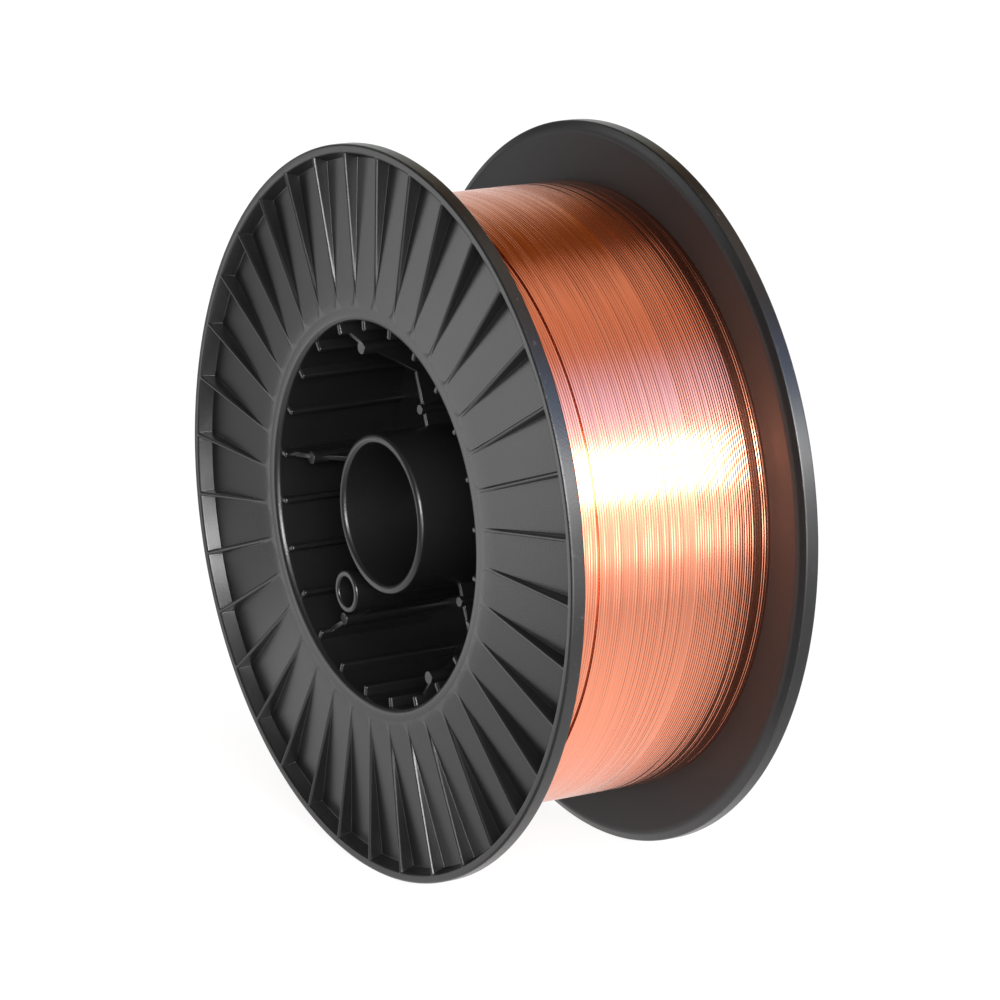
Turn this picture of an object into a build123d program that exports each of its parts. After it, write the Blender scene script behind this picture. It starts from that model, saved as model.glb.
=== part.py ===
from build123d import *
import math
import os

# Welding wire on a moulded plastic spool, in millimetres. It stands on its two rims with its axis level.
# The axis runs along Y and +Z is up. The origin is the centre of the bore, half way between the flanges.
# A depth below is measured inwards from a flange's outer face.

# Overall size of the spool
flange_radius = 135.0
spool_width = 103.0

# Hub tube with the spindle bore
bore_radius = 26.0
hub_wall = 3.5
hub_depth = 3.0

# Tube for the drive pin, beside the hub
drive_circle_radius = 44.5
drive_hole_radius = 5.5
drive_wall = 2.5
drive_depth = 4.4
drive_web = 3

# Barrel that carries the wire
mouth_radius = 70.8
barrel_wall = 3.7
mouth_chamfer = 1.0

# Small ribs along the inside of the barrel
barrel_rib_count = 24
barrel_rib_height = 3.8
barrel_rib_thickness = 2.2
barrel_rib_depth = 1.8
barrel_rib_angle = 7.5

# Webs between the hub and the barrel
web_count = 6
web_angle = 52.5
web_thickness = 2.0
web_top_depth = 6.0
web_knee_depth = 10.0
web_floor_depth = 30.0
web_knee_inset = 7.8
web_floor_inset = 20.8

# Disc that closes the barrel half way along
disc_thickness = 2.5

# Dished flange plate, its collar, its rim and the ribs on its face
flange_wall = 1.9
collar_width = 4.5
rim_width = 3.2
rim_band = 5.4
rim_chamfer = 0.8
rim_bevel = 4.0
pocket_depth = 5.6
pocket_wall_lean = 1.8
face_rib_count = 36
face_rib_angle = 8.3
face_rib_thickness = 1.6
face_rib_draft = 2.0

# Winding of round wire, layer on layer, with a last layer that stops short of both flanges
wire_diameter = 1.0
winding_depth = 38.65
top_layer_front_gap = 20.0
top_layer_back_gap = 4.0
winding_clearance = 0.05
end_groove_count = 1
end_groove_depth = 0.5

# Sizes that follow from those above
face_y = -spool_width / 2
hub_radius = bore_radius + hub_wall
drive_tube_radius = drive_hole_radius + drive_wall
barrel_radius = mouth_radius + barrel_wall
collar_radius = barrel_radius + collar_width
pocket_radius = flange_radius - rim_width
coil_bore = barrel_radius + winding_clearance
coil_radius = coil_bore + winding_depth
layer_rise = wire_diameter * math.sqrt(3) / 2
root_overlap = 0.5
cut_overlap = 1.0


def face_plane(depth):
    """Plane parallel to the front flange's face, that far behind it, looking out of the spool."""
    return Plane.XZ.offset(spool_width / 2 - depth)


def floor_y(radius):
    """Y of the pocket floor at a radius: a cone that leaves the front face at the collar."""
    return face_y + pocket_depth * (radius - collar_radius) / (pocket_radius - collar_radius)


def wire_side_y(radius):
    """Y of the front flange's wire side at a radius: one wall behind the floor of the pockets."""
    return floor_y(radius) + flange_wall


def web_plane(angle):
    """Plane through the spool's axis at an angle, with its X outwards and its Y along the axis."""
    turn = math.radians(angle)
    outward = Vector(math.cos(turn), 0, math.sin(turn))
    return Plane(origin=(0, 0, 0), x_dir=outward, z_dir=outward.cross(Vector(0, 1, 0)))


# Pockets of one flange face: a ring with a sloping floor and a leaning outer wall, less its ribs
with BuildPart() as pockets:
    wall_foot = pocket_radius - pocket_wall_lean
    with BuildSketch(Plane.XY):
        with BuildLine():
            Polyline(
                (collar_radius, face_y),
                (pocket_radius, face_y),
                (wall_foot, floor_y(wall_foot)),
                close=True,
            )
        make_face()
    revolve(axis=Axis.Y)
    rib_length = pocket_radius - collar_radius + 2 * cut_overlap
    with BuildSketch(face_plane(0)):
        with PolarLocations((pocket_radius + collar_radius) / 2, face_rib_count, start_angle=face_rib_angle):
            Rectangle(rib_length, face_rib_thickness)
    extrude(amount=-(pocket_depth + cut_overlap), taper=-face_rib_draft, mode=Mode.SUBTRACT)

# Front half of the moulding, from the flange's face to the middle of the barrel, then its mirror image
with BuildPart() as spool:
    # Barrel and dished flange, turned from one outline
    with BuildSketch(Plane.XY):
        with BuildLine():
            Polyline(
                (flange_radius, face_y + rim_chamfer),
                (flange_radius, face_y + rim_band),
                (flange_radius - rim_bevel, wire_side_y(flange_radius - rim_bevel)),
                (barrel_radius, wire_side_y(barrel_radius)),
                (barrel_radius, 0),
                (mouth_radius, 0),
                (mouth_radius, face_y + mouth_chamfer),
                (mouth_radius + mouth_chamfer, face_y),
                (flange_radius - rim_chamfer, face_y),
                close=True,
            )
        make_face()
    revolve(axis=Axis.Y)
    add(pockets.part, mode=Mode.SUBTRACT)

    # Disc half way along, as thick on each side of the middle
    with BuildSketch(Plane.XZ):
        Circle(mouth_radius + root_overlap)
    extrude(amount=disc_thickness / 2)

    # Ribs along the barrel's inside
    with BuildSketch(face_plane(barrel_rib_depth)):
        rib_middle = mouth_radius - (barrel_rib_height - root_overlap) / 2
        with PolarLocations(rib_middle, barrel_rib_count, start_angle=barrel_rib_angle):
            Rectangle(barrel_rib_height + root_overlap, barrel_rib_thickness)
    extrude(amount=-(spool_width / 2 - barrel_rib_depth))

    # Webs, each a plate whose edge falls from the barrel's mouth to a flat floor round the hub
    for number in range(web_count):
        with BuildSketch(web_plane(web_angle + number * 360 / web_count)):
            with BuildLine():
                Polyline(
                    (bore_radius + root_overlap, 0),
                    (mouth_radius + root_overlap, 0),
                    (mouth_radius + root_overlap, face_y + web_top_depth),
                    (mouth_radius - barrel_rib_height, face_y + web_top_depth),
                    (mouth_radius - web_knee_inset, face_y + web_knee_depth),
                    (mouth_radius - web_floor_inset, face_y + web_floor_depth),
                    (bore_radius + root_overlap, face_y + web_floor_depth),
                    close=True,
                )
            make_face()
        extrude(amount=web_thickness / 2, both=True)

    # Hub tube, and the drive tube on one of the webs
    drive_angle = web_angle + drive_web * 360 / web_count
    with BuildSketch(face_plane(hub_depth)):
        Circle(hub_radius)
    extrude(amount=-(spool_width / 2 - hub_depth))
    with BuildSketch(face_plane(drive_depth)):
        with PolarLocations(drive_circle_radius, 1, start_angle=drive_angle):
            Circle(drive_tube_radius)
    extrude(amount=-(spool_width / 2 - drive_depth))

    # Bore and drive hole
    with BuildSketch(face_plane(0)):
        Circle(bore_radius)
        with PolarLocations(drive_circle_radius, 1, start_angle=drive_angle):
            Circle(drive_hole_radius)
    extrude(amount=-spool_width / 2, mode=Mode.SUBTRACT)

    mirror(about=Plane.XZ)

# Winding: one turned solid between the flanges, with its layers showing as grooves on both ends
with BuildPart() as wire_coil:
    base_radius = coil_radius - layer_rise
    top_layer_front = wire_side_y(coil_radius) + top_layer_front_gap
    top_layer_back = -wire_side_y(coil_radius) - top_layer_back_gap
    with BuildSketch(Plane.XY):
        with BuildLine():
            Polyline(
                (coil_bore, wire_side_y(coil_bore) + winding_clearance),
                (base_radius, wire_side_y(base_radius) + winding_clearance),
                (base_radius, top_layer_front),
                (coil_radius, top_layer_front),
                (coil_radius, top_layer_back),
                (base_radius, top_layer_back),
                (base_radius, -wire_side_y(base_radius) - winding_clearance),
                (coil_bore, -wire_side_y(coil_bore) - winding_clearance),
                close=True,
            )
        make_face()
        band = (base_radius - coil_bore) / (end_groove_count + 1)
        for number in range(1, end_groove_count + 1):
            radius = coil_bore + number * band
            for side in (-1, 1):
                mouth = -side * (wire_side_y(radius) + winding_clearance)
                with BuildLine():
                    Polyline(
                        (radius - layer_rise, mouth + side * cut_overlap),
                        (radius + layer_rise, mouth + side * cut_overlap),
                        (radius, mouth - side * end_groove_depth),
                        close=True,
                    )
                make_face(mode=Mode.SUBTRACT)
    revolve(axis=Axis.Y)

os.makedirs("parts", exist_ok=True)
spool.part.label = "spool"
wire_coil.part.label = "wire_coil"
export_step(spool.part, "parts/spool.step")
export_step(wire_coil.part, "parts/wire_coil.step")
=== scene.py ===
# %% [markdown]
# # A spool of welding wire
# The object is a black moulded plastic spool, 270 mm across, wound with about 15 kg of copper-coated
# steel wire. It stands on its two rims, and a wire feeder takes it on a spindle through the bore.
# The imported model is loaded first. It fixes the place and size of both pieces, and everything below is
# modelled around it, in metres, with the axis of the spool along Y and Z up.

# %% Load the fixed frame
import math
import random
import bmesh
import bpy
from mathutils import Matrix, Vector


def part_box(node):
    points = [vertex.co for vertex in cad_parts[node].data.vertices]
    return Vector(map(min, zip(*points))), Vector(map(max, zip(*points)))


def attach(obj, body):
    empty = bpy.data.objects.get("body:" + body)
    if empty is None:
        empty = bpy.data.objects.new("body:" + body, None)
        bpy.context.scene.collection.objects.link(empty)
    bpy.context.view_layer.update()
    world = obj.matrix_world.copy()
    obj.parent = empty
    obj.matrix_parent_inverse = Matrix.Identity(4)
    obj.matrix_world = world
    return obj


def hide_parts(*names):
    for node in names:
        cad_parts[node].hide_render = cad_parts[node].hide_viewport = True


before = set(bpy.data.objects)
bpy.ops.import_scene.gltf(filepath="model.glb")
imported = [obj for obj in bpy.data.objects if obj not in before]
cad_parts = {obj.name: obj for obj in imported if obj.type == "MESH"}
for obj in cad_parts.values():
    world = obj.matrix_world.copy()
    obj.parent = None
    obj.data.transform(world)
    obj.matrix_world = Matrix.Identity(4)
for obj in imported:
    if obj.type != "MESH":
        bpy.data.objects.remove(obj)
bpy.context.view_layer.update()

MM = 0.001
full_turn = 2 * math.pi
_, spool_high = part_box("spool")
_, coil_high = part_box("wire_coil")
half_width = spool_high.y
rim_radius = spool_high.x
coil_radius = coil_high.x
print(f"spool: radius {rim_radius:.4f} m, half width {half_width:.4f} m")
print(f"winding: radius {coil_radius:.4f} m")

# %% [markdown]
# ## Camera
# The photo was taken with a long lens from the right of the front flange and a little above, so the two
# flanges look almost parallel. The lens follows from how much smaller the far flange looks. The camera
# aims at the middle of the bore, and a small shift puts that point where it lies in the photo.

# %% Camera at the photo's angle
camera_azimuth = math.radians(58.32)
camera_elevation = math.radians(13.82)
camera_distance = 1.897
towards_camera = Vector((
    math.sin(camera_azimuth) * math.cos(camera_elevation),
    -math.cos(camera_azimuth) * math.cos(camera_elevation),
    math.sin(camera_elevation),
))
camera_data = bpy.data.cameras.new("camera")
camera_data.lens = 185.83
camera_data.shift_x = 0.00736
camera_data.shift_y = -0.00225
camera = bpy.data.objects.new("camera", camera_data)
camera.location = towards_camera * camera_distance
camera.rotation_euler = (-towards_camera).to_track_quat("-Z", "Y").to_euler()
bpy.context.scene.collection.objects.link(camera)
bpy.context.scene.camera = camera
print(f"camera at {tuple(round(x, 3) for x in camera.location)}")

# %% [markdown]
# ## Small helpers for meshes
# Each piece starts as a bmesh, which is Blender's editable mesh in memory. One helper turns it into an
# object at the origin, and one runs a Boolean modifier and keeps its result, which is how the separate
# closed forms of a moulding are fused into one skin.

# %% Mesh helpers
def finish_mesh(bm, name):
    """Writes a bmesh to a new object that sits at the origin, with its faces pointing outwards."""
    bmesh.ops.recalc_face_normals(bm, faces=bm.faces[:])
    mesh = bpy.data.meshes.new(name)
    bm.to_mesh(mesh)
    bm.free()
    piece = bpy.data.objects.new(name, mesh)
    bpy.context.scene.collection.objects.link(piece)
    return piece


def combine(piece, other, operation):
    """Joins another closed form to a piece, or cuts it out of the piece, and deletes the other form."""
    boolean = piece.modifiers.new("boolean", "BOOLEAN")
    boolean.operation = operation
    boolean.solver = "MANIFOLD"
    boolean.object = other
    bpy.context.view_layer.update()
    evaluated = piece.evaluated_get(bpy.context.evaluated_depsgraph_get())
    result = bpy.data.meshes.new_from_object(evaluated)
    piece.modifiers.clear()
    old = piece.data
    piece.data = result
    bpy.data.meshes.remove(old)
    bpy.data.meshes.remove(other.data)
    print(f"{operation.lower()}: {piece.name} now has {len(result.polygons)} faces")


def radial(angle):
    """Unit vector from the axis at an angle in degrees, measured from +X towards +Z."""
    return Vector((math.cos(math.radians(angle)), 0, math.sin(math.radians(angle))))


def turn_to(bm, angle):
    """Turns a form that was made along +X to that angle about the axis."""
    turn = Matrix.Rotation(-math.radians(angle), 3, "Y")
    bmesh.ops.rotate(bm, cent=(0, 0, 0), matrix=turn, verts=bm.verts[:])


# %% [markdown]
# ## The turned skin of the spool
# Both flanges and the barrel are bodies of revolution, so they start as one closed outline, drawn as a
# flat face whose corners are rounded by a vertex bevel and then spun about Y. Numbers here are in
# millimetres as a moulder would give them, and MM makes them metres.
# The face of each flange is a shallow dish, level with the collar round the barrel's mouth and deepest
# at the rim. The collar has one faint groove turned into it. The dish is turned without its ribs for now.

# %% Outline of the flanges and the barrel
mouth_radius = 70.8 * MM
barrel_radius = 74.5 * MM
collar_radius = 79.0 * MM
pocket_radius = 131.8 * MM
pocket_depth = 5.6 * MM
pocket_wall_lean = 1.8 * MM
flange_wall = 1.9 * MM
rim_band = 5.4 * MM
rim_bevel = 4.0 * MM
floor_slope = pocket_depth / (pocket_radius - collar_radius)


def wire_side_depth(radius):
    """How far behind the face the flange's wire side lies."""
    return flange_wall + floor_slope * (radius - collar_radius)


collar_groove_radius = 75.5 * MM
collar_groove_half_width = 0.35 * MM
collar_groove_depth = 0.12 * MM
bevel_radius = rim_radius - rim_bevel
wall_foot = pocket_radius - pocket_wall_lean
dish_rows = 10
dish_step = (wall_foot - collar_radius) / dish_rows
half_outline = [
    ("mouth", mouth_radius, 0.0),
    ("", collar_groove_radius - collar_groove_half_width, 0.0),
    ("", collar_groove_radius, collar_groove_depth),
    ("", collar_groove_radius + collar_groove_half_width, 0.0),
    *[("", collar_radius + n * dish_step, n * dish_step * floor_slope) for n in range(dish_rows)],
    ("fillet", wall_foot, floor_slope * (wall_foot - collar_radius)),
    ("pocket edge", pocket_radius, 0.0),
    ("rim", rim_radius, 0.0),
    ("band", rim_radius, rim_band),
    ("back bevel", bevel_radius, wire_side_depth(bevel_radius)),
    ("", barrel_radius, wire_side_depth(barrel_radius)),
]
edge_rounding = {
    "mouth": (2.2 * MM, 6),
    "fillet": (0.3 * MM, 2),
    "pocket edge": (0.8 * MM, 4),
    "rim": (1.0 * MM, 4),
    "band": (0.5 * MM, 3),
    "back bevel": (0.8 * MM, 3),
}


def turned_outline(bm):
    """Draws the outline as one face, rounds its named corners and returns its edges with the face gone."""
    corners = {}
    verts = []
    for side in (-1, 1):
        points = half_outline if side < 0 else half_outline[::-1]
        for name, radius, depth in points:
            vert = bm.verts.new((radius, side * (half_width - depth), 0))
            corners.setdefault(name, []).append(vert)
            verts.append(vert)
    bm.faces.new(verts)
    for name, (radius, segments) in edge_rounding.items():
        bmesh.ops.bevel(
            bm, geom=corners[name], offset=radius, offset_type="OFFSET", affect="VERTICES",
            segments=segments, profile=0.5, material=-1, clamp_overlap=False,
        )
    bmesh.ops.delete(bm, geom=bm.faces[:], context="FACES_ONLY")
    return bm.edges[:]


print(f"outline of {2 * len(half_outline)} corners, the dish sloping {floor_slope:.3f} mm in each mm")

# %% [markdown]
# ## The ribs on the flange faces
# 36 thin ribs stand in the dish of each flange. They could be separate bars joined to it, but then their
# rounded edges would stop dead at the rim and the collar. Instead the outline is spun in steps that form
# sixteen columns of faces to each rib. The columns at the rib are then lifted back to the level of the
# face, so the rib, its fillets and the rim's inner wall are one smooth skin, and a rib fades out at the
# collar, where the dish has no depth. Column 0 is the middle of a rib, column 6 the foot of its side, and
# the columns between two ribs share out the floor of the pocket.

# %% Spin the outline and lift the ribs
rib_count = 36
rib_angle = 8.3
rib_pitch = 360 / rib_count
columns = 16
last_rib_column = 6
face_margin = 0.3 * MM
collar_margin = 0.1 * MM
rim_margin = 0.5 * MM
merge_distance = 0.001 * MM
rib_half_top = 0.22 * MM
rib_half_edge = 0.54 * MM
rib_half_width = 0.80 * MM
rib_top_drop = 0.04 * MM
rib_edge_drop = 0.25 * MM
rib_side_top = 0.80 * MM
rib_draft = math.tan(math.radians(2.0))
rib_foot = 0.20 * MM
rib_foot_step = 0.06 * MM
rib_foot_rise = 0.06 * MM


def rib_section(column, depth):
    """Offset from the rib's middle and depth below the face for a column, where the dish is that deep."""
    top_drop = min(rib_top_drop, depth)
    edge_drop = min(rib_edge_drop, depth)
    side_top = min(rib_side_top, depth)
    foot = rib_half_width + rib_draft * depth
    return {
        0: (0.0, 0.0),
        1: (rib_half_top, top_drop),
        2: (rib_half_edge, edge_drop),
        3: (rib_half_width, side_top),
        4: (foot, max(depth - rib_foot, side_top)),
        5: (foot + rib_foot_step, max(depth - rib_foot_rise, side_top)),
        6: (foot + rib_foot, depth),
    }[column]


def lift_rib(vert):
    """Moves one vertex of the turned dish to its place on the ribbed face."""
    radius = math.hypot(vert.co.x, vert.co.z)
    depth = max(0.0, half_width - abs(vert.co.y))
    on_face = depth <= floor_slope * max(0.0, radius - collar_radius) + face_margin
    in_dish = collar_radius - collar_margin < radius < pocket_radius + rim_margin
    if not (on_face and in_dish):
        return
    angle = math.degrees(math.atan2(vert.co.z, vert.co.x)) - rib_angle
    number = round(angle / rib_pitch)
    offset = angle - number * rib_pitch
    column = round(abs(offset) / rib_pitch * columns)
    if column <= last_rib_column:
        aside, new_depth = rib_section(column, depth)
        turn = math.degrees(math.asin(aside / radius))
    else:
        foot_turn = math.degrees(math.asin(rib_section(last_rib_column, depth)[0] / radius))
        share = (column - last_rib_column) / (columns / 2 - last_rib_column)
        turn = foot_turn + share * (rib_pitch / 2 - foot_turn)
        new_depth = depth
    side = math.copysign(1, offset)
    place = radial(rib_angle + number * rib_pitch + side * turn) * radius
    place.y = math.copysign(half_width - new_depth, vert.co.y)
    vert.co = place


bm = bmesh.new()
outline = turned_outline(bm)
turn_to(bm, rib_angle)
bmesh.ops.spin(
    bm, geom=bm.verts[:] + outline, cent=(0, 0, 0), axis=(0, 1, 0), dvec=(0, 0, 0),
    angle=full_turn, steps=rib_count * columns, use_merge=True,
)
bmesh.ops.remove_doubles(bm, verts=bm.verts[:], dist=merge_distance)
for vert in bm.verts:
    lift_rib(vert)
moulding = finish_mesh(bm, "spool_moulding")
print(f"turned skin with {rib_count} ribs a side: {len(moulding.data.polygons)} faces")

# %% [markdown]
# ## Hub, drive tube and the disc inside the barrel
# The hub tube runs right through and is what the spindle carries. Beside it is a small tube for the
# feeder's drive pin. Both are rings: a rectangle with rounded corners, spun about its own axis.
# A thin disc half way along closes the barrel, so no light shows through the recess.

# %% Tubes and disc
bore_radius = 26.0 * MM
hub_wall = 3.5 * MM
hub_depth = 3.0 * MM
drive_circle = 44.5 * MM
drive_hole = 5.5 * MM
drive_wall = 2.5 * MM
drive_depth = 4.4 * MM
drive_angle = 232.5
disc_half = 1.25 * MM
root = 0.5 * MM
hub_rounding = 1.7 * MM
drive_rounding = 0.9 * MM
hub_steps = 160
drive_steps = 64
ring_corner_segments = 4
rod_segments = 32
rod_edge_segments = 2
rod_edge_angle = math.radians(60)
drive_centre = radial(drive_angle) * drive_circle


def ring(name, centre, inner, outer, half_length, rounding, steps):
    """A tube or washer along Y, with its corners rounded."""
    bm = bmesh.new()
    corners = [
        bm.verts.new((radius, y, 0))
        for radius, y in (
            (inner, -half_length), (outer, -half_length), (outer, half_length), (inner, half_length),
        )
    ]
    bm.faces.new(corners)
    if rounding:
        bmesh.ops.bevel(
            bm, geom=corners, offset=rounding, offset_type="OFFSET", affect="VERTICES",
            segments=ring_corner_segments, profile=0.5, material=-1,
        )
    bmesh.ops.delete(bm, geom=bm.faces[:], context="FACES_ONLY")
    bmesh.ops.spin(
        bm, geom=bm.verts[:] + bm.edges[:], cent=(0, 0, 0), axis=(0, 1, 0), dvec=(0, 0, 0),
        angle=full_turn, steps=steps, use_merge=True,
    )
    bmesh.ops.remove_doubles(bm, verts=bm.verts[:], dist=merge_distance)
    bmesh.ops.translate(bm, vec=centre, verts=bm.verts[:])
    return finish_mesh(bm, name)


def rod(name, centres, radius, half_length, rounding):
    """Round pins along Y at several places, as one object, with their end edges rounded."""
    bm = bmesh.new()
    for centre in centres:
        lying = Matrix.Translation(centre) @ Matrix.Rotation(math.radians(90), 4, "X")
        made = bmesh.ops.create_cone(
            bm, cap_ends=True, segments=rod_segments, radius1=radius, radius2=radius,
            depth=2 * half_length, matrix=lying,
        )
        caps = [e for e in bm.edges if e.is_manifold and all(v in made["verts"] for v in e.verts)
                and e.calc_face_angle() > rod_edge_angle]
        if rounding:
            bmesh.ops.bevel(
                bm, geom=caps, offset=rounding, offset_type="OFFSET", affect="EDGES",
                segments=rod_edge_segments, profile=0.5, material=-1,
            )
    return finish_mesh(bm, name)


def drive_clearing():
    """A rod that clears the webs and the disc out of the drive tube, up to the middle of its wall."""
    return rod("drive_clearing", [drive_centre], drive_hole + drive_wall / 2, half_width, 0)


axis_centre = (0, 0, 0)
hub = ring(
    "hub", axis_centre, bore_radius, bore_radius + hub_wall,
    half_width - hub_depth, hub_rounding, hub_steps,
)
drive = ring(
    "drive", drive_centre, drive_hole, drive_hole + drive_wall,
    half_width - drive_depth, drive_rounding, drive_steps,
)
disc = ring("disc", axis_centre, bore_radius + root, mouth_radius + root, disc_half, 0, hub_steps)
combine(disc, drive_clearing(), "DIFFERENCE")

# %% [markdown]
# ## Webs, barrel ribs and ejector posts
# Six webs tie the hub to the barrel. Each is a plate whose edge drops from the barrel's mouth to a flat
# floor round the hub, so one flat outline is drawn for the whole length, given its thickness by an
# extrusion, and its edges are bevelled. Twenty-four low ribs stiffen the barrel's inside. The ejector
# pins of the mould left small round posts on the webs.

# %% Plates, bars and posts
web_count = 6
web_angle = 52.5
web_thickness = 2.0 * MM
web_edge = 0.35 * MM
web_edge_segments = 2
along_plate = 0.1 * MM
web_top_depth = 6.0 * MM
web_top_radius = 67.0 * MM
web_knee_depth = 10.0 * MM
web_knee_radius = 63.0 * MM
web_floor_depth = 30.0 * MM
web_floor_radius = 50.0 * MM
web_edges = [
    (bore_radius + root, web_floor_depth),
    (web_floor_radius, web_floor_depth),
    (web_knee_radius, web_knee_depth),
    (web_top_radius, web_top_depth),
    (mouth_radius + root, web_top_depth),
]
barrel_rib_count = 24
barrel_rib_angle = 7.5
barrel_rib_height = 3.8 * MM
barrel_rib_thickness = 2.2 * MM
barrel_rib_depth = 1.8 * MM
barrel_rib_edge = 0.8 * MM
barrel_rib_edge_segments = 3
outer_post_circle = 61.5 * MM
outer_post_radius = 2.5 * MM
outer_post_depth = 9.5 * MM
inner_post_circle = 36.0 * MM
inner_post_radius = 2.0 * MM
inner_post_depth = 28.5 * MM
post_edge = 0.3 * MM


def web_angles():
    """Angles of the webs in degrees."""
    return [web_angle + number * 360 / web_count for number in range(web_count)]


def make_webs():
    """All the webs as one object of separate closed plates."""
    bm = bmesh.new()
    for angle in web_angles():
        points = [(radius, depth - half_width) for radius, depth in web_edges]
        points += [(radius, -y) for radius, y in reversed(points)]
        plate = bmesh.new()
        face = plate.faces.new([plate.verts.new((x, y, -web_thickness / 2)) for x, y in points])
        grown = bmesh.ops.extrude_face_region(plate, geom=[face])
        moved = [v for v in grown["geom"] if isinstance(v, bmesh.types.BMVert)]
        bmesh.ops.translate(plate, vec=(0, 0, web_thickness), verts=moved)
        bmesh.ops.recalc_face_normals(plate, faces=plate.faces[:])
        rims = [e for e in plate.edges if abs(e.verts[0].co.z - e.verts[1].co.z) < along_plate]
        bmesh.ops.bevel(
            plate, geom=rims, offset=web_edge, offset_type="OFFSET", affect="EDGES",
            segments=web_edge_segments, profile=0.5, material=-1,
        )
        turn_to(plate, angle)
        holder = bpy.data.meshes.new("plate")
        plate.to_mesh(holder)
        plate.free()
        bm.from_mesh(holder)
        bpy.data.meshes.remove(holder)
    return finish_mesh(bm, "webs")


def make_barrel_ribs():
    """The low ribs along the inside of the barrel, as one object of separate closed bars."""
    bm = bmesh.new()
    height = barrel_rib_height + root
    for number in range(barrel_rib_count):
        angle = barrel_rib_angle + number * 360 / barrel_rib_count
        centre = radial(angle) * (mouth_radius + root - height / 2)
        place = Matrix.Translation(centre) @ Matrix.Rotation(-math.radians(angle), 4, "Y")
        size = Matrix.Diagonal((height, 2 * (half_width - barrel_rib_depth), barrel_rib_thickness, 1))
        made = bmesh.ops.create_cube(bm, size=1, matrix=place @ size)
        edges = {e for v in made["verts"] for e in v.link_edges}
        bmesh.ops.bevel(
            bm, geom=list(edges), offset=barrel_rib_edge, offset_type="OFFSET", affect="EDGES",
            segments=barrel_rib_edge_segments, profile=0.5, material=-1,
        )
    return finish_mesh(bm, "barrel_ribs")


webs = make_webs()
combine(webs, drive_clearing(), "DIFFERENCE")
barrel_ribs = make_barrel_ribs()
outer_posts = rod(
    "outer_posts", [radial(a) * outer_post_circle for a in web_angles()],
    outer_post_radius, half_width - outer_post_depth, post_edge,
)
inner_posts = rod(
    "inner_posts", [radial(a) * inner_post_circle for a in web_angles() if a != drive_angle],
    inner_post_radius, half_width - inner_post_depth, post_edge,
)
for form in (hub, disc, drive, webs, barrel_ribs, outer_posts, inner_posts):
    combine(moulding, form, "UNION")

# %% [markdown]
# ## The winding
# The wire is layer wound: each turn lies square to the axis, hard against the last, and each layer sits
# in the grooves of the one below. Only the outer layers show, so one closed outline carries a small arc
# for every turn, and spinning it gives about ninety real turns. The last layer stops short of both
# flanges, so the layer under it shows as a lower strip at either side. A little seeded scatter in
# height and place keeps the turns from looking machined.

# %% Wind the wire
wire_diameter = 1.0 * MM
layer_rise = wire_diameter * math.sqrt(3) / 2
winding_clearance = 0.05 * MM
top_layer_front = -25.97 * MM
top_layer_back = 41.97 * MM
winding_steps = 180
crown_radius = 1.7 * MM
crown_angles = (-16, -5.5, 5.5, 16)
valley_depth = 0.09 * MM
turn_drop = 0.03 * MM
turn_slip = 0.02 * MM
scatter = random.Random(7)


def turn_arc(bm, radius, y):
    """Vertices over the crown of one turn whose outside lies at that radius."""
    drop = scatter.uniform(0.0, turn_drop)
    slip = scatter.uniform(-turn_slip, turn_slip)
    return [
        bm.verts.new((
            radius - drop - crown_radius * (1 - math.cos(math.radians(a))),
            y + slip + crown_radius * math.sin(math.radians(a)),
            0,
        ))
        for a in crown_angles
    ]


def layer(bm, radius, start, end):
    """One layer's row of turns from start to end along the axis, with a valley after each turn."""
    count = round((end - start) / wire_diameter)
    verts = []
    for number in range(count):
        middle = start + (number + 0.5) * wire_diameter
        verts += turn_arc(bm, radius, middle)
        if number < count - 1:
            verts.append(bm.verts.new((radius - valley_depth, middle + wire_diameter / 2, 0)))
    return verts


bm = bmesh.new()
under_radius = coil_radius - layer_rise
coil_bore = barrel_radius + winding_clearance
under_end = half_width - wire_side_depth(under_radius) - winding_clearance
bore_end = half_width - wire_side_depth(coil_bore) - winding_clearance
section = layer(bm, under_radius, -under_end, top_layer_front)
section += layer(bm, coil_radius, top_layer_front, top_layer_back)
section += layer(bm, under_radius, top_layer_back, under_end)
section.append(bm.verts.new((under_radius - wire_diameter / 2, under_end, 0)))
section.append(bm.verts.new((coil_bore, bore_end, 0)))
section.append(bm.verts.new((coil_bore, -bore_end, 0)))
section.append(bm.verts.new((under_radius - wire_diameter / 2, -under_end, 0)))
for first, second in zip(section, section[1:] + section[:1]):
    bm.edges.new((first, second))
bmesh.ops.spin(
    bm, geom=bm.verts[:] + bm.edges[:], cent=(0, 0, 0), axis=(0, 1, 0), dvec=(0, 0, 0),
    angle=full_turn, steps=winding_steps, use_merge=True,
)
bmesh.ops.remove_doubles(bm, verts=bm.verts[:], dist=merge_distance)
winding = finish_mesh(bm, "wound_wire")
print(f"winding: {len(winding.data.polygons)} faces")

# %% [markdown]
# ## Smooth shading
# The turned skins should shade smoothly across their small bevels, with sharp lines only where the
# surface really turns a corner. Sharp edges are marked by angle, and a Weighted Normal modifier makes
# the broad faces lead, so the bevels carry the highlights.

# %% Shade the pieces
moulding_sharp_angle = 50
winding_sharp_angle = 60
for piece, sharp_angle in ((moulding, moulding_sharp_angle), (winding, winding_sharp_angle)):
    piece.data.shade_smooth()
    piece.data.set_sharp_from_angle(angle=math.radians(sharp_angle))
weighted = moulding.modifiers.new("weighted normals", "WEIGHTED_NORMAL")
weighted.keep_sharp = True
print("shaded", [p.name for p in (moulding, winding)])

# %% [markdown]
# ## Writing shader maths as expressions
# A material here is a tree of nodes. A small class wraps one output socket, so that `1 - mask * 2` adds
# its Math nodes by itself, and one method adds every other kind of node.

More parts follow.
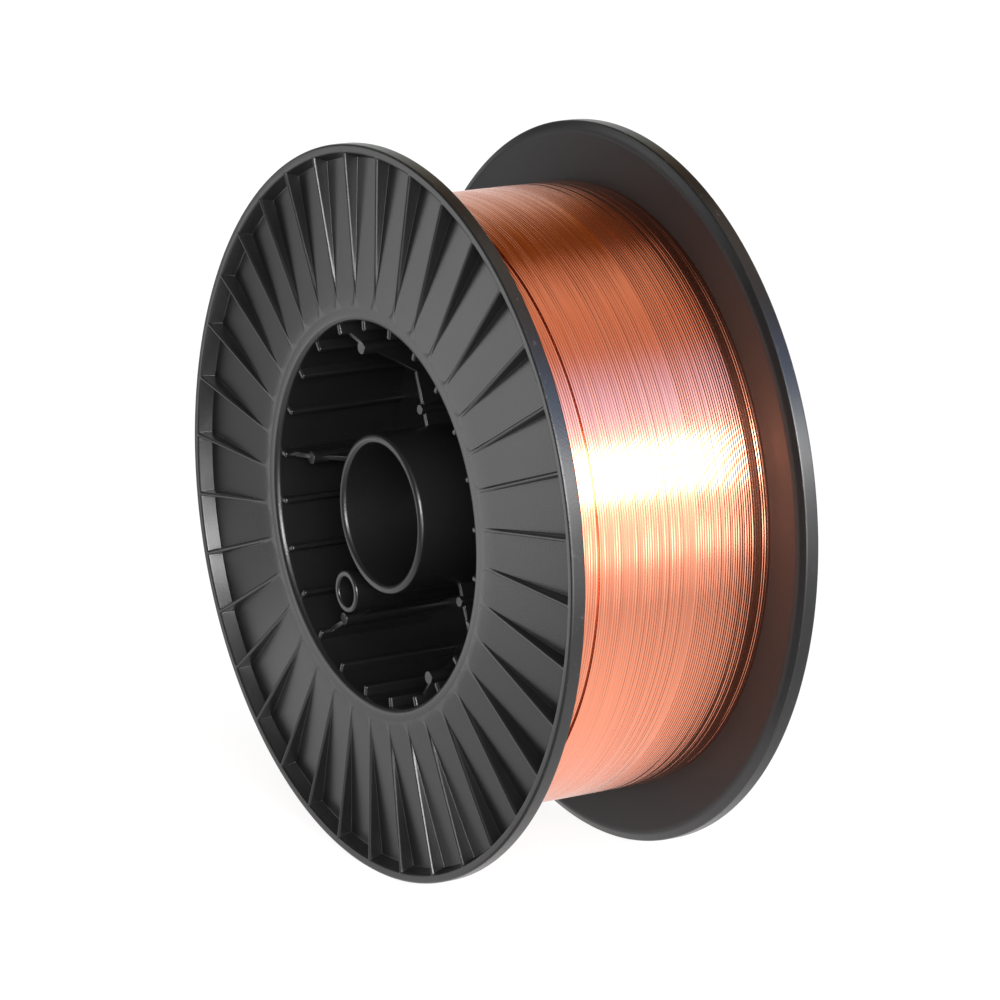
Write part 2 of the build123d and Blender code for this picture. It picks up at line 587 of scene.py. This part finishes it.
# %% Shader helpers
class Value:
    """One output socket of a node tree. Arithmetic on it adds Math nodes."""

    def __init__(self, tree, socket):
        self.tree = tree
        self.socket = socket

    def maths(self, operation, *operands):
        return self.tree.node("ShaderNodeMath", {"operation": operation}, dict(enumerate(operands)))

    def __add__(self, other):
        return self.maths("ADD", self, other)

    def __radd__(self, other):
        return self.maths("ADD", other, self)

    def __sub__(self, other):
        return self.maths("SUBTRACT", self, other)

    def __rsub__(self, other):
        return self.maths("SUBTRACT", other, self)

    def __mul__(self, other):
        return self.maths("MULTIPLY", self, other)

    def __rmul__(self, other):
        return self.maths("MULTIPLY", other, self)

    def __truediv__(self, other):
        return self.maths("DIVIDE", self, other)

    def __pow__(self, other):
        return self.maths("POWER", self, other)

    def __abs__(self):
        return self.maths("ABSOLUTE", self)

    def rising(self, edge):
        """0 before a soft edge and 1 after it. The edge is where it starts and where it ends."""
        start, end = edge
        settings = {"interpolation_type": "SMOOTHSTEP"}
        inputs = {"Value": self, "From Min": start, "From Max": end}
        return self.tree.node("ShaderNodeMapRange", settings, inputs)

    def falling(self, edge):
        """1 before a soft edge and 0 after it."""
        return 1.0 - self.rising(edge)


class Tree:
    """A node tree with one method that adds any node."""

    def __init__(self, node_tree):
        self.nodes = node_tree.nodes
        self.links = node_tree.links

    def connect(self, value, socket):
        """Links a Value to a socket, or sets the socket to a plain number or colour."""
        if isinstance(value, Value):
            self.links.new(value.socket, socket)
        else:
            socket.default_value = value

    def node(self, kind, settings=None, inputs=None, output=0):
        """Adds a node, applies its settings, then fills its inputs by name or number."""
        made = self.nodes.new(kind)
        for name, setting in (settings or {}).items():
            setattr(made, name, setting)
        for key, value in (inputs or {}).items():
            self.connect(value, made.inputs[key])
        return Value(self, made.outputs[output])

    def mix(self, factor, first, second):
        """Blends two colours."""
        return self.node("ShaderNodeMix", {"data_type": "RGBA"}, {0: factor, 6: first, 7: second}, output=2)

    def noise(self, vector, scale, detail, roughness):
        """Noise between 0 and 1, with features about 1 / scale metres across."""
        inputs = {"Vector": vector, "Scale": scale, "Detail": detail, "Roughness": roughness}
        return self.node("ShaderNodeTexNoise", {}, inputs)

    def parts(self, vector):
        """The X, Y and Z of a vector."""
        return [self.node("ShaderNodeSeparateXYZ", {}, {"Vector": vector}, output=n) for n in range(3)]

    def place(self):
        """Object coordinates, and their three parts."""
        vector = self.node("ShaderNodeTexCoord", {}, {}, output="Object")
        return (vector, *self.parts(vector))

    def azimuth(self, first, second):
        """Angle in degrees of a direction, from the first axis towards the second."""
        turn = self.node("ShaderNodeMath", {"operation": "ARCTAN2"}, {0: second, 1: first})
        return turn * math.degrees(1)

    def grey(self, strength):
        """A colour with the same strength in red, green and blue."""
        return self.node("ShaderNodeCombineXYZ", {}, {"X": strength, "Y": strength, "Z": strength})

    def camera_ray(self):
        """1 for the rays that come straight from the camera, 0 for all others."""
        return self.node("ShaderNodeLightPath", {}, {}, output="Is Camera Ray")


def new_material(name):
    """A material with its Tree and its Principled shader node."""
    material = bpy.data.materials.new(name)
    material.use_nodes = True
    return material, Tree(material.node_tree), material.node_tree.nodes["Principled BSDF"]


# %% [markdown]
# ## Black moulded plastic
# The spool is polystyrene, black all through, with a satin skin. Black plastic shows almost nothing but
# what it mirrors, so the gloss matters more than the colour. What makes it look moulded is small: a fine
# grain in the mirrored light, a slightly changing gloss where the melt flowed, a few specks of dust, and
# pale scuffs on the rim. The side that faces the wire is rougher, so it mirrors the copper only softly.

# %% Plastic finish
black_low = (0.003, 0.003, 0.003, 1)
black_high = (0.006, 0.006, 0.006, 1)
scuff_grey = (0.05, 0.05, 0.05, 1)
dust_edge = (0.62, 0.74)
speck_edge = (0.76, 0.82)
rim_edge = (133.5 * MM, 135.2 * MM)
wire_side_edge = (0.3 * MM, 1.2 * MM)
barrel_skin_edge = (75.0 * MM, 76.0 * MM)
handled_tint = 0.2
speck_tint = 0.1
satin = 0.24
flow_roughness = 0.1
handled_roughness = 0.2
wire_side_roughness = 0.32
grain_strength = 0.12
grain_height = 0.4 * MM
plastic_ior = 1.48
plastic, tree, shader = new_material("black_plastic")
position, x, y, z = tree.place()
radius = (x * x + z * z) ** 0.5
flow = tree.noise(position, scale=22.0, detail=4.0, roughness=0.6)
grain = tree.noise(position, scale=1600.0, detail=2.0, roughness=0.6)
dust = tree.noise(position, scale=420.0, detail=2.0, roughness=0.7)
handled = dust.rising(dust_edge) * radius.rising(rim_edge)
specks = tree.noise(position, scale=1100.0, detail=1.0, roughness=0.5).rising(speck_edge)
black = tree.mix(flow, black_low, black_high)
scuffed = tree.mix(handled * handled_tint + specks * speck_tint, black, scuff_grey)
wire_side = half_width - flange_wall - floor_slope * (radius - collar_radius)
outside = (abs(y) - wire_side).rising(wire_side_edge)
wire_facing = (1.0 - outside) * radius.rising(barrel_skin_edge)
skin_roughness = satin + flow * flow_roughness + handled * handled_roughness
bump_inputs = {"Strength": grain_strength, "Distance": grain_height, "Height": grain}
bump = tree.node("ShaderNodeBump", {}, bump_inputs)
tree.connect(scuffed, shader.inputs["Base Color"])
tree.connect(skin_roughness + wire_facing * wire_side_roughness, shader.inputs["Roughness"])
tree.connect(bump, shader.inputs["Normal"])
tree.connect(plastic_ior, shader.inputs["IOR"])
moulding.data.materials.clear()
moulding.data.materials.append(plastic)
print("plastic on", moulding.name)

# %% [markdown]
# ## Copper-coated wire
# The wire is drawn steel with a thin flash of copper, so it is a metal with a copper colour. The turns
# are real geometry and give the long bands of light by themselves. The finish adds what differs from
# turn to turn: a little more or less gloss, and a slightly redder or paler coat in faint streaks. The
# streaks are a noise that is stretched round the winding, which a Mapping node does by its scale.

# %% Wire finish
coat_low = (0.76, 0.265, 0.16, 1)
coat_high = (0.79, 0.29, 0.175, 1)
coat_red = (0.74, 0.235, 0.135, 1)
turn_frequency = 700.0
streak_scale = (18.0, 420.0, 18.0)
coat_edge = (0.3, 0.7)
streak_edge = (0.45, 0.75)
streak_tint = 0.35
bright_drawn = 0.10
turn_roughness = 0.08
streak_roughness = 0.06
copper, tree, shader = new_material("copper_coat")
position, _, y, _ = tree.place()
one_dimension = {"noise_dimensions": "1D"}
per_turn = tree.node(
    "ShaderNodeTexNoise", one_dimension, {"W": y * turn_frequency, "Scale": 1.0, "Detail": 1.0},
)
stretched = tree.node("ShaderNodeMapping", {}, {"Vector": position, "Scale": streak_scale})
streaks = tree.noise(stretched, scale=1.0, detail=3.0, roughness=0.5)
coat = tree.mix(per_turn.rising(coat_edge), coat_low, coat_high)
coat = tree.mix(streaks.rising(streak_edge) * streak_tint, coat, coat_red)
wire_roughness = bright_drawn + per_turn * turn_roughness + streaks * streak_roughness
tree.connect(coat, shader.inputs["Base Color"])
tree.connect(wire_roughness, shader.inputs["Roughness"])
tree.connect(1.0, shader.inputs["Metallic"])
winding.data.materials.append(copper)
print("copper on", winding.name)

# %% [markdown]
# ## The light that the spool mirrors
# The photo is a studio shot on plain white, and both finishes are mirrors more than they are colours. So
# the floor and the world do two jobs. To the camera they are plain white. To every other ray they are
# soft lights with dark gaps, told apart by a Light Path node.
# The photo's camera sees the front face of the spool mirror what stands low in front and to the left:
# a dark studio with one pale card. Those shades run over the floor and up into the world, so both take
# them from one function. An azimuth here is in degrees from +X, anticlockwise seen from above, up to
# 180 and down to -180, and each pair below is where a soft edge starts and ends.

# %% Card and dark parts in front of the spool
left_shade_start = (158.4, 167.4)
left_shade_end = (-158.4, -142.2)
card_start = (-156.6, -140.4)
card_end = (-133.2, -104.4)
front_shade_end = (-54.0, -36.0)


def front_light(azimuth):
    """How dark the left and the front are, and how bright the card between them, at an azimuth."""
    left_shade = azimuth.rising(left_shade_start) + azimuth.falling(left_shade_end)
    card = azimuth.rising(card_start) * azimuth.falling(card_end)
    front_shade = azimuth.rising(card_end) * azimuth.falling(front_shade_end)
    return left_shade, card, front_shade


print(f"card between {card_start[0]} and {card_end[1]} degrees")

# %% [markdown]
# ## Floor
# A wide sheet of white paper under the rims. It isn't part of the object. The lower half of the winding
# mirrors it, so it glows: brighter to the right, with a painted shadow in its glow under the left side of
# the barrel and painted shade close in front on the right, and further out with the card and the dark
# parts of the cell above. Lengths are in metres.

# %% Paper floor
paper_half_size = 30
plain_white = 0.88
paper_glow = 0.85
paper_grey = (0.15, 0.15, 0.15, 1)
paper_roughness = 0.9
right_near_edge = (0.33, 0.38)
right_far_edge = (0.38, 1.0)
lamp_left_edge = (0.5, 1.0)
lamp_front_edge = (-0.9, -0.5)
lamp_back_edge = (0.1, 0.4)
clear_of_spool = (0.27, 0.42)
# Where the painted shadow under the barrel and the painted shade close in front of the spool lie.
painted_shadow_reach = (0.12, 0.17)
painted_shadow_front_edge = (-0.06, -0.03)
painted_shadow_back_edge = (0.01, 0.04)
painted_shadow_right_edge = (-0.05, -0.02)
painted_shade_left_edge = (0.03, 0.08)
painted_shade_back_edge = (-0.06, -0.02)
right_half = (0.0, 0.08)
towards_rear = (0.03, 0.12)
near_glow = 0.4
far_glow = 1.5
lamp_glow = 4.0
card_glow = 1.5
left_dimming = 0.85
front_dimming = 0.9
painted_shadow_dimming = 0.9
painted_shade_dimming = 0.8
front_gain = 0.22
rear_loss = 0.5


def paper_light(x, y):
    """How bright the paper is to the spool at a place."""
    left_shade, card, front_shade = front_light(x.tree.azimuth(x, y))
    distance = (x * x + y * y) ** 0.5
    away = distance.rising(clear_of_spool)
    lamp = x.rising(lamp_left_edge) * y.rising(lamp_front_edge) * y.falling(lamp_back_edge)
    right = x.rising(right_near_edge) * near_glow + x.rising(right_far_edge) * far_glow
    shades = left_shade * left_dimming + front_shade * front_dimming
    glow = (paper_glow + right + lamp * lamp_glow) * (1.0 - away * shades) + away * card * card_glow
    # Painted shadow: the glow is dimmed on the floor under the left side of the barrel.
    painted_shadow = distance.falling(painted_shadow_reach) * x.falling(painted_shadow_right_edge)
    painted_shadow = painted_shadow * y.rising(painted_shadow_front_edge) * y.falling(painted_shadow_back_edge)
    # Painted shade: the glow is dimmed close in front of the spool on the right.
    painted_shade_close = (1.0 - away) * x.rising(painted_shade_left_edge) * y.falling(painted_shade_back_edge)
    towards_front = x.rising(right_half) * (front_gain - y.rising(towards_rear) * rear_loss)
    return glow * (1.0 - painted_shadow * painted_shadow_dimming) * (1.0 - painted_shade_close * painted_shade_dimming) * (1.0 + towards_front)


bm = bmesh.new()
bmesh.ops.create_grid(bm, x_segments=1, y_segments=1, size=paper_half_size)
bmesh.ops.translate(bm, vec=(0, 0, -rim_radius), verts=bm.verts[:])
floor = finish_mesh(bm, "floor")
paper, tree, shader = new_material("white_paper")
_, x, y, _ = tree.place()
camera_ray = tree.camera_ray()
brightness = camera_ray * plain_white + (1.0 - camera_ray) * paper_light(x, y)
tree.connect(paper_grey, shader.inputs["Base Color"])
tree.connect(paper_roughness, shader.inputs["Roughness"])
tree.connect(0.0, shader.inputs["Specular IOR Level"])
tree.connect(tree.grey(brightness), shader.inputs["Emission Color"])
tree.connect(1.0, shader.inputs["Emission Strength"])
floor.data.materials.append(paper)
print("floor at", round(-rim_radius, 4))

# %% [markdown]
# ## Studio light
# Long soft lights run along the axis of the spool, from beside it to far behind it. The winding is a
# cylinder about that axis, so it shows them as level bands. Their order and strength follow the bands
# on the winding in the photo: a strong strip low on the right, a cool one above it, a warm glow overhead,
# a dark gap past it, and a bright wall low on the left. A Color Ramp over the angle about the axis holds
# them, because its stops are easy to read and to change.

# %% Level bands of light
# Angle about the axis in degrees, from the right horizon over the top, and the light's radiance there.
light_bands = [
    (0.0, (2.2, 2.2, 2.2)),
    (8.4, (2.6, 2.6, 2.6)),
    (9.4, (9.0, 9.0, 9.0)),
    (26.6, (9.0, 9.0, 9.0)),
    (27.6, (2.4, 2.7, 3.6)),
    (40.0, (1.1, 1.6, 2.8)),
    (48.0, (0.9, 1.2, 2.1)),
    (56.0, (0.8, 0.8, 1.2)),
    (62.0, (0.7, 0.5, 0.4)),
    (80.0, (0.65, 0.46, 0.33)),
    (88.0, (0.77, 0.62, 0.48)),
    (101.0, (0.7, 0.55, 0.42)),
    (106.0, (0.2, 0.1, 0.03)),
    (130.0, (0.19, 0.09, 0.02)),
    (138.0, (0.45, 0.34, 0.18)),
    (148.0, (0.65, 0.7, 0.66)),
    (180.0, (0.95, 0.95, 0.95)),
]
peak = 9.0
half_turn = 180
world = bpy.data.worlds.new("studio")
bpy.context.scene.world = world
world.use_nodes = True
tree = Tree(world.node_tree)
direction = tree.node("ShaderNodeTexCoord", {}, {}, output="Generated")
x, y, z = tree.parts(direction)
about_axis = tree.azimuth(x, z)
bands = tree.node("ShaderNodeValToRGB", {}, {"Fac": about_axis / half_turn})
ramp = bands.socket.node.color_ramp
ready_stops = len(ramp.elements)
for number, (angle, colour) in enumerate(light_bands):
    stop = ramp.elements[number] if number < ready_stops else ramp.elements.new(angle / half_turn)
    stop.position = angle / half_turn
    stop.color = [c / peak for c in colour] + [1]
print("bands of light:", len(ramp.elements))

# %% [markdown]
# ## Around the bands
# On the right the bands are stronger towards the front, because the far flange hides the rest of them
# from the turns beside it. In front of the spool they fade to grey and then to the dark studio. That has
# the upper part of the card, and the low strip on the right goes on into it, stronger still, for the rib
# tops to catch.

# %% World
card_top = (0.3, 0.5)
front_edge = (-0.15, 0.15)
front_edge_shift = 0.3
right_side = (0.0, 0.3)
colour_start = (-0.1, 0.15)
strip_low = (7.2, 10.8)
strip_high = (26.1, 29.7)
strip_front = (-0.9, -0.6)
strip_strength = 28.0
card_strength = 2.3
dark_studio = 0.1
side_start = (0.0, 0.2)
side_fade = (0.3, 0.75)
side_gain = 0.35
side_loss = 0.7
plain_backdrop = (1.0, 1.0, 1.0, 1)
_, card, _ = front_light(tree.azimuth(x, y))
strip = about_axis.rising(strip_low) * about_axis.falling(strip_high) * y.rising(strip_front)
front_strength = strip * strip_strength + z.falling(card_top) * card * card_strength + dark_studio
in_front = (y + x.rising(right_side) * front_edge_shift).falling(front_edge)
side_change = x.rising(side_start) * (side_gain - y.rising(side_fade) * side_loss)
band_strength = (1.0 + side_change) * peak
side_bands = tree.node("ShaderNodeVectorMath", {"operation": "SCALE"}, {0: bands, "Scale": band_strength})
grey_bands = tree.node("ShaderNodeRGBToBW", {}, {"Color": side_bands})
side_bands = tree.mix(y.rising(colour_start), grey_bands, side_bands)
mirrored = tree.mix(in_front, side_bands, tree.grey(front_strength))
backdrop = tree.mix(tree.camera_ray(), mirrored, plain_backdrop)
tree.connect(backdrop, world.node_tree.nodes["Background"].inputs["Color"])
print("world made")

# %% [markdown]
# ## Fill light
# One soft square light from the front right lifts the dark recess a little. It is hidden from glossy rays,
# so that the black plastic doesn't mirror it as a patch.

# %% Fill light
fill_width = 0.3
fill_place = (0.42, -0.30, 0.28)
fill_radiance = 10.0
fill = bpy.data.lights.new("front_fill", "AREA")
fill.size = fill_width
fill.energy = fill_radiance * math.pi * fill_width * fill_width
fill_lamp = bpy.data.objects.new("front_fill", fill)
fill_lamp.location = fill_place
fill_lamp.rotation_euler = (-Vector(fill_place)).to_track_quat("-Z", "Y").to_euler()
fill_lamp.visible_glossy = False
bpy.context.scene.collection.objects.link(fill_lamp)
bpy.context.scene.view_settings.view_transform = "Standard"
print(f"fill light of {fill.energy:.2f} W")

# %% [markdown]
# ## Ride and replace
# Each piece rides on the one body of the part and stands for its imported node, which is hidden.

# %% Ride and replace
for piece, node, slot in (
    (moulding, "spool", "spool_plastic"),
    (winding, "wire_coil", "coated_wire"),
):
    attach(piece, "root")
    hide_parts(node)
